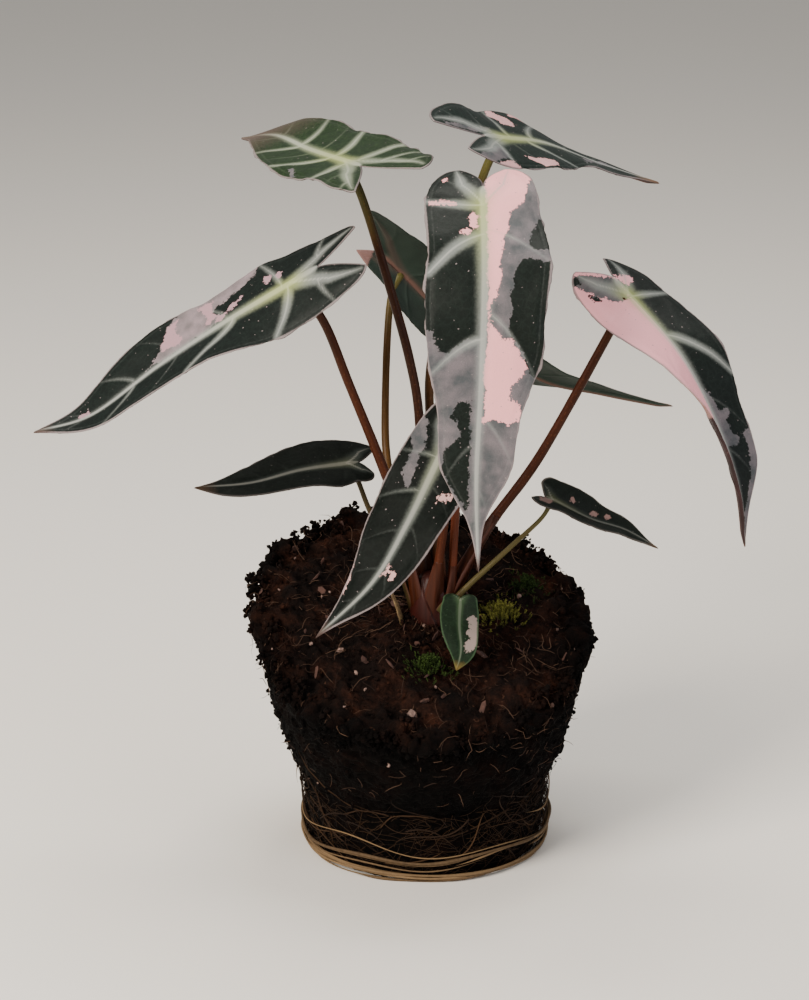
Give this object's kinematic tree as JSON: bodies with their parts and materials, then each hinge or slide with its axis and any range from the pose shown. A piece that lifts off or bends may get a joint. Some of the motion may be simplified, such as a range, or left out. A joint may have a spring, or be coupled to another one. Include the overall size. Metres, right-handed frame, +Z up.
{
  "type": "bare-root potted bambino alocasia plant",
  "caption": "Small pink-variegated dwarf alocasia: arrow-shaped leaves on slender stalks rising from a bare ball of peat that kept the shape of its nursery pot.",
  "frame": {"origin": "centre of the root ball's flat underside", "axes": "+Z up; -Y is the side that most leaves face, from which the picture was taken; +X to the right seen from there"},
  "size_m": [0.233, 0.1466, 0.2514],
  "materials": {
    "peat_soil": "matte",
    "root": "satin",
    "crown_sheath": "satin",
    "papery_scale": "matte",
    "moss_light": "matte",
    "moss_dark": "matte",
    "leaf_dark": "satin",
    "leaf_grey_pink": "satin",
    "leaf_pink": "satin",
    "leaf_green": "satin",
    "stalk_maroon": "satin",
    "stalk_olive": "satin"
  },
  "bodies": {
    "root": {"peat_ball": "peat_soil", "root_mat": "root", "crown": "crown_sheath", "dry_scale": "papery_scale", "moss_pad_light": "moss_light", "moss_pad_dark": "moss_dark", "moss_pad_front": "moss_dark", "blade_left": "leaf_dark", "stalk_left": "stalk_maroon", "blade_centre": "leaf_grey_pink", "stalk_centre": "stalk_maroon", "blade_right": "leaf_pink", "stalk_right": "stalk_maroon", "blade_front": "leaf_dark", "stalk_front": "stalk_maroon", "blade_top_left": "leaf_dark", "stalk_top_left": "stalk_maroon", "blade_top_right": "leaf_dark", "stalk_top_right": "stalk_olive", "blade_low_left": "leaf_dark", "stalk_low_left": "stalk_olive", "blade_back": "leaf_dark", "stalk_back": "stalk_olive", "blade_low_right": "leaf_dark", "stalk_low_right": "stalk_olive", "blade_small": "leaf_green", "stalk_small": "stalk_olive"}
  },
  "joints": []
}
